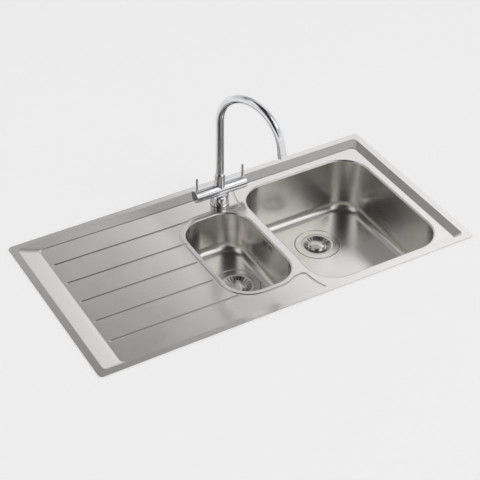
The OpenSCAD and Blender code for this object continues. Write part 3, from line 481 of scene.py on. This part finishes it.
def floor_plan(border, circle):
    """Triangulation of the hollow's floor, which follows the pressed lines and leaves out mouths and tap hole."""
    pts, edges = [], []

    def polyline(line, closed=False):
        k, m = len(pts), len(line)
        pts.extend(map(tuple, line))
        edges.extend((k + i, k + (i + 1) % m) for i in range(m if closed else m - 1))

    def offsets(half, wall):
        """Distances of the rows of points along one side of a pressed line."""
        return np.linspace(half - wall - LINE_R - PRESS_MARGIN, half + LINE_R + PRESS_MARGIN, PRESS_ROWS)

    holes = [bowl_outline(b, MOUTH_R + MOUTH_LAND)[0] for b in (MAIN, HALF)] + [circle]
    for loop in [border] + holes:
        polyline(loop, closed=True)
    # rows along the pressed line, up to the floor's edge
    tangent = unit(np.gradient(LINE, axis=0))
    side = np.c_[-tangent[:, 1], tangent[:, 0]]
    left, right, front, back = ROW_INSET
    (west, south), (east, north) = border.min(0) + (left, front), border.max(0) - (right, back)
    walls = offsets(LINE_HALF, LINE_WALL)
    for d in np.r_[-walls[::-1], 0, walls]:
        q = LINE + side * d
        polyline(q[(q[:, 0] > west) & (q[:, 0] < east) & (q[:, 1] > south) & (q[:, 1] < north)])
    # rows along each groove, around its left end
    for (ax, y), (bx, _) in GROOVES:
        xs = np.linspace(ax, bx + GROOVE_PAST, GROOVE_STEPS)
        polyline(np.c_[xs, np.full(GROOVE_STEPS, y)])
        for d in offsets(GROOVE_HALF, GROOVE_WALL):
            arc = np.array([(ax - d * math.sin(t), y + d * math.cos(t)) for t in np.linspace(0, math.pi, 9)])
            above, below = np.full(GROOVE_STEPS, y + d), np.full(GROOVE_STEPS, y - d)
            polyline(np.vstack([np.c_[xs[::-1], above], arc[1:-1], np.c_[xs, below]]))
    # a plain grid over the rest
    left, right, front, back = GRID_INSET
    grid_x, grid_y = np.arange(X0 + left, X1 - right, GRID_STEP), np.arange(Y0 + front, Y1 - back, GRID_STEP)
    grid = np.array([(x, y) for x in grid_x for y in grid_y])
    lines = [np.vstack([loop, loop[:1]]) for loop in [border] + holes] + [LINE] + GROOVES
    near = np.minimum.reduce([distance(grid, line) for line in lines])
    pts.extend(map(tuple, grid[near > GRID_CLEAR]))

    verts, _, tris, *_ = delaunay_2d_cdt([Vector(p) for p in pts], edges, [], 0, 1e-4)
    flat = np.array([tuple(v) for v in verts])
    tris = np.array([t for t in tris if len(t) == 3])
    centre = flat[tris].mean(1)
    keep = inside(centre, border)
    for hole in holes:
        keep &= ~inside(centre, hole)
    tris = tris[keep]
    used = np.unique(tris)
    index = np.full(len(flat), -1)
    index[used] = np.arange(len(used))
    return flat[used], [tuple(index[t]) for t in tris]


def top_sheet():
    """Rim, slopes, drainer and deck as one pressed sheet with its underside."""
    shell = Shell()
    rim, rim_normals = rim_loops()
    slopes, slope_normals = slope_loops()
    loops = rim + slopes
    n = len(loops[0])
    shell.both(np.vstack(loops), np.vstack(rim_normals + slope_normals), strips(len(loops), n))
    # floor of the hollow
    turns = np.linspace(0, 2 * math.pi, CIRCLE_STEPS + 1)[:-1]
    ring = np.array([(math.cos(t), math.sin(t)) for t in turns])
    circle = np.array(TAP) + TAP_HOLE * ring
    flat, tris = floor_plan(loops[-1][:, :2], circle)
    shell.both(np.c_[flat, floor_height(flat)], floor_normals(flat), tris)
    # cut edge of the tap hole
    edge = np.vstack([np.c_[circle, np.full(CIRCLE_STEPS, z)] for z in (DECK, DECK - SHEET)])
    shell.add(edge, np.vstack([np.c_[-ring, np.zeros(CIRCLE_STEPS)]] * 2), strips(2, CIRCLE_STEPS))
    # foot of the turned-down edge
    outer, out = rounded(-SINK_W / 2, SINK_W / 2, -SINK_D / 2, SINK_D / 2, RIM_R)
    foot = np.vstack([np.c_[outer - out * SHEET, np.zeros(n)], np.c_[outer, np.zeros(n)]])
    shell.add(foot, np.tile((0, 0, -1.0), (2 * n, 1)), strips(2, n))
    return shell.make("pressed_top", "steel_top", "sink", nodes=("sink_top",))


def bowl_section(b, cut):
    """Section of a bowl from its mouth to its floor: growth of the outline, height, and normal outward and up."""
    top, floor = DECK - MOUTH_R, b["floor"] + FILLET_R
    lean = math.atan(DRAFT / (top - floor))
    section = [(MOUTH_R + MOUTH_LAND, DECK, 0.0, 1.0), (MOUTH_R + MOUTH_GAP, DECK, 0.0, 1.0)]
    for t in np.linspace(0, math.pi / 2 - lean, 10)[1:]:
        c, s = math.cos(t), math.sin(t)
        section.append((MOUTH_R - MOUTH_R * s, DECK - MOUTH_R + MOUTH_R * c, -s, c))
    r0, z0 = section[-1][:2]
    zt = floor - FILLET_R * math.sin(lean)
    rt = r0 - (z0 - zt) * math.tan(lean)
    shares = list(np.linspace(0, 1, 9)[1:]) + [(z0 - z) / (z0 - zt) for z in (cut["z"] if cut else ())]
    for t in sorted(shares):
        section.append((r0 + (rt - r0) * t, z0 + (zt - z0) * t, -math.cos(lean), math.sin(lean)))
    cr = rt - FILLET_R * math.cos(lean)
    for t in np.linspace(lean, math.pi / 2, 15)[1:]:
        c, s = math.cos(t), math.sin(t)
        section.append((cr + FILLET_R * c, floor - FILLET_R * s, -c, s))
    return section


# Seat of a waste: radius, height over the bowl's floor, and tilt of the normal
SEAT = [
    (SEAT_R + 1.6, 0.0, 0.0),
    (SEAT_R + 1.0, -0.1, 20.0),
    (SEAT_R + 0.6, -0.4, 45.0),
    (SEAT_R + 0.3, -0.9, 65.0),
    (SEAT_R + 0.1, -1.8, 70.0),
    (SEAT_R - 0.3, -2.3, 40.0),
    (SEAT_R - 0.9, -SEAT_D, 0.0),
    (WASTE_HOLE, -SEAT_D, 0.0),
]


def bowl(name, b, node, cut=None):
    """Deep-drawn bowl with a rounded mouth, leaning walls, a filleted floor and the waste's seat."""
    loops, normals = [], []
    for g, z, nr, nz in bowl_section(b, cut):
        pts, out = bowl_outline(b, g)
        loops.append(np.c_[pts, np.full(len(pts), z)])
        normals.append(np.c_[out * nr, np.full(len(pts), nz)])
    n = len(pts)
    centre = np.array([b["wx"], b["wy"]])
    ray = unit(pts - centre)
    start, goal = pts, centre + ray * SEAT[0][0]
    for t in (0.25, 0.5, 0.75):
        loops.append(np.c_[start + (goal - start) * t, np.full(n, b["floor"])])
        normals.append(np.tile((0, 0, 1.0), (n, 1)))
    for r, dz, tilt in SEAT:
        c, s = math.cos(math.radians(tilt)), math.sin(math.radians(tilt))
        loops.append(np.c_[centre + ray * r, np.full(n, b["floor"] + dz)])
        normals.append(np.c_[-ray * s, np.full(n, c)])
    verts, faces = np.vstack(loops), strips(len(loops), n)
    if cut:
        x, y, z = verts[np.array(faces)].mean(1).T
        (y0, y1), (z0, z1) = cut["y"], cut["z"]
        gone = (y > y0) & (y < y1) & (z > z0) & (z < z1) & (x > cut["right_of"])
        faces = [f for f, g in zip(faces, gone) if not g]
    shell = Shell()
    shell.both(verts, np.vstack(normals), faces)
    return shell.make(name, "steel_bowl", "sink", nodes=(node,))


top_sheet()
bowl("main_bowl_skin", MAIN, "main_bowl")
bowl("half_bowl_skin", HALF, "half_bowl", cut=OVERFLOW)

# Pale floor that the rim lies on, with the cut-out that the sink hangs in
FLOOR_HALF, CUT_X, CUT_Y, CUT_R, FLOOR_GAP = 9.0, 0.490, 0.245, 0.010, 0.0002
FLOOR_GREY, FLOOR_GLOW = 0.86, 0.42
floor_mat = bpy.data.materials.new("floor")
fn = Nodes(floor_mat)
fn.set("Base Color", (FLOOR_GREY, FLOOR_GREY, FLOOR_GREY, 1))
fn.set("Roughness", 0.9)
fn.set("Specular IOR Level", 0.1)
fn.set("Emission Color", (1, 1, 1, 1))
light_path = fn.add("ShaderNodeLightPath")
seen = fn.sum(light_path.outputs["Is Camera Ray"], light_path.outputs["Is Glossy Ray"])
fn.set("Emission Strength", fn.calc("MULTIPLY", seen, FLOOR_GLOW))
hole, _ = rounded(-CUT_X, CUT_X, -CUT_Y, CUT_Y, CUT_R, 6, 2, 2)
around, _ = rounded(-FLOOR_HALF, FLOOR_HALF, -FLOOR_HALF, FLOOR_HALF, CUT_R, 6, 2, 2)
me = bpy.data.meshes.new("floor")
me.from_pydata([(*p, 0.0) for p in hole] + [(*p, 0.0) for p in around], [], strips(2, len(hole)))
me.materials.append(floor_mat)
floor = bpy.data.objects.new("floor", me)
floor.location = (0, 0, -FLOOR_GAP)
bpy.context.scene.collection.objects.link(floor)


def from_side(azimuth, elevation, far=1):
    a, e = math.radians(azimuth), math.radians(elevation)
    return (far * math.cos(e) * math.cos(a), far * math.cos(e) * math.sin(a), far * math.sin(e))


def softbox(name, at, size, watts):
    """Area light that faces the sink."""
    data = bpy.data.lights.new(name, "AREA")
    data.shape = "RECTANGLE"
    data.size, data.size_y = size
    data.energy = watts
    o = bpy.data.objects.new(name, data)
    o.location = at
    o.rotation_euler = (-Vector(at)).to_track_quat("-Z", "Y").to_euler()
    bpy.context.scene.collection.objects.link(o)


# Panel in front for the fillets in the bowls, and a soft one on the left
softbox("front_panel", from_side(-56, 43, 6.0), size=(3.4, 3.0), watts=30)
softbox("left_panel", from_side(168, 48, 5.0), size=(2.4, 2.0), watts=9)

# The world is a pale tent, brighter near the ground, with a bright wall behind on the right, whose slanting edge
# shows as the step in the deck's brightness, and a dark opening that runs up the camera's side. The camera itself
# sees plain white behind the floor.
TENT = [(0.0, 1.0), (0.12, 0.88), (0.3, 0.70), (0.59, 0.60), (0.64, 0.46), (0.70, 0.22), (0.78, 0.38), (0.9, 0.60),
        (1.0, 0.60)]
WALL_LIGHT, WALL_LOW, WALL_HIGH, WALL_SOFT = 1.28, (0.44, 0.62), (0.74, 0.84), 0.02
WALL_EDGE, WALL_SIDE, WALL_FADE = ((61.3, 38.0), (58.0, 40.5)), 95, (0.0, 0.15)
OPENING, OPENING_LIGHT, OPENING_WIDTH, OPENING_BACK = -132, 0.04, (0.32, 0.46), (0.18, 0.34)

world = bpy.data.worlds.new("studio")
bpy.context.scene.world = world
wn = Nodes(world)
way = wn.add("ShaderNodeTexCoord").outputs["Generated"]
height = wn.add("ShaderNodeSeparateXYZ", Vector=way).outputs["Z"]


def along(direction):
    """Share of the direction that points along another."""
    n = wn.t.nodes.new("ShaderNodeVectorMath")
    n.operation = "DOT_PRODUCT"
    wn.put(n.inputs[0], way)
    wn.put(n.inputs[1], direction)
    return n.outputs["Value"]


def minus(value):
    return wn.calc("MULTIPLY", value, -1.0)


def shade(factor, dark, light):
    """Mix of two lights, each a grey level or a node's colour."""
    n = wn.t.nodes.new("ShaderNodeMix")
    n.data_type = "RGBA"
    wn.put(n.inputs["Factor"], factor)
    for socket, value in ((n.inputs[6], dark), (n.inputs[7], light)):
        wn.put(socket, value if hasattr(value, "is_output") else (value, value, value, 1))
    return n.outputs[2]


tent = wn.ramp(height, [(at, (grey, grey, grey)) for at, grey in TENT])
low_end, high_end = (Vector(from_side(*end)) for end in WALL_EDGE)
edge = wn.soften(along(low_end.cross(high_end).normalized()), -WALL_SOFT, WALL_SOFT)
tall = wn.calc("MULTIPLY", wn.soften(height, *WALL_LOW), wn.soften(minus(height), -WALL_HIGH[1], -WALL_HIGH[0]))
wall = wn.calc("MULTIPLY", wn.calc("MULTIPLY", edge, tall), wn.soften(along(from_side(WALL_SIDE, 0)), *WALL_FADE))
shut = wn.soften(wn.calc("ABSOLUTE", along(from_side(OPENING + 90, 0))), *OPENING_WIDTH)
behind = wn.soften(minus(along(from_side(OPENING, 0))), *OPENING_BACK)
lit = wn.calc("MAXIMUM", shut, behind)

back = wn.t.nodes["Background"]
wn.put(back.inputs["Color"], shade(wall, shade(lit, OPENING_LIGHT, tent), WALL_LIGHT))
wn.put(back.inputs["Strength"], 1.0)
white = wn.add("ShaderNodeBackground", Color=(1, 1, 1, 1))
mix = wn.t.nodes.new("ShaderNodeMixShader")
path = wn.add("ShaderNodeLightPath")
for socket, output in zip(mix.inputs, (path.outputs["Is Camera Ray"], back.outputs[0], white.outputs[0])):
    wn.put(socket, output)
wn.put(wn.t.nodes["World Output"].inputs["Surface"], mix.outputs[0])

# Camera, solved from the rim's corners in the photo
SENSOR, FOCAL_PIXELS, IMAGE_PIXELS = 36.0, 1375.93, 480
CAMERA_AT = (-1.323788, -2.226089, (2050.457 + RIM_H) / 1000)
RIGHT = Vector((0.8646335446, -0.5023015442, 0.0100991203))
DOWN = Vector((-0.3044517427, -0.5398445675, -0.7847782995))
AHEAD = Vector((0.3996473069, 0.6754709480, -0.6196943024))
cam_data = bpy.data.cameras.new("camera")
cam_data.sensor_width = SENSOR
cam_data.lens = SENSOR * FOCAL_PIXELS / IMAGE_PIXELS
cam_data.clip_end = 100
cam = bpy.data.objects.new("camera", cam_data)
bpy.context.scene.collection.objects.link(cam)
cam.matrix_world = Matrix.Translation(CAMERA_AT) @ Matrix((RIGHT, -DOWN, -AHEAD)).transposed().to_4x4()
bpy.context.scene.camera = cam
bpy.context.scene.view_settings.view_transform = "Standard"
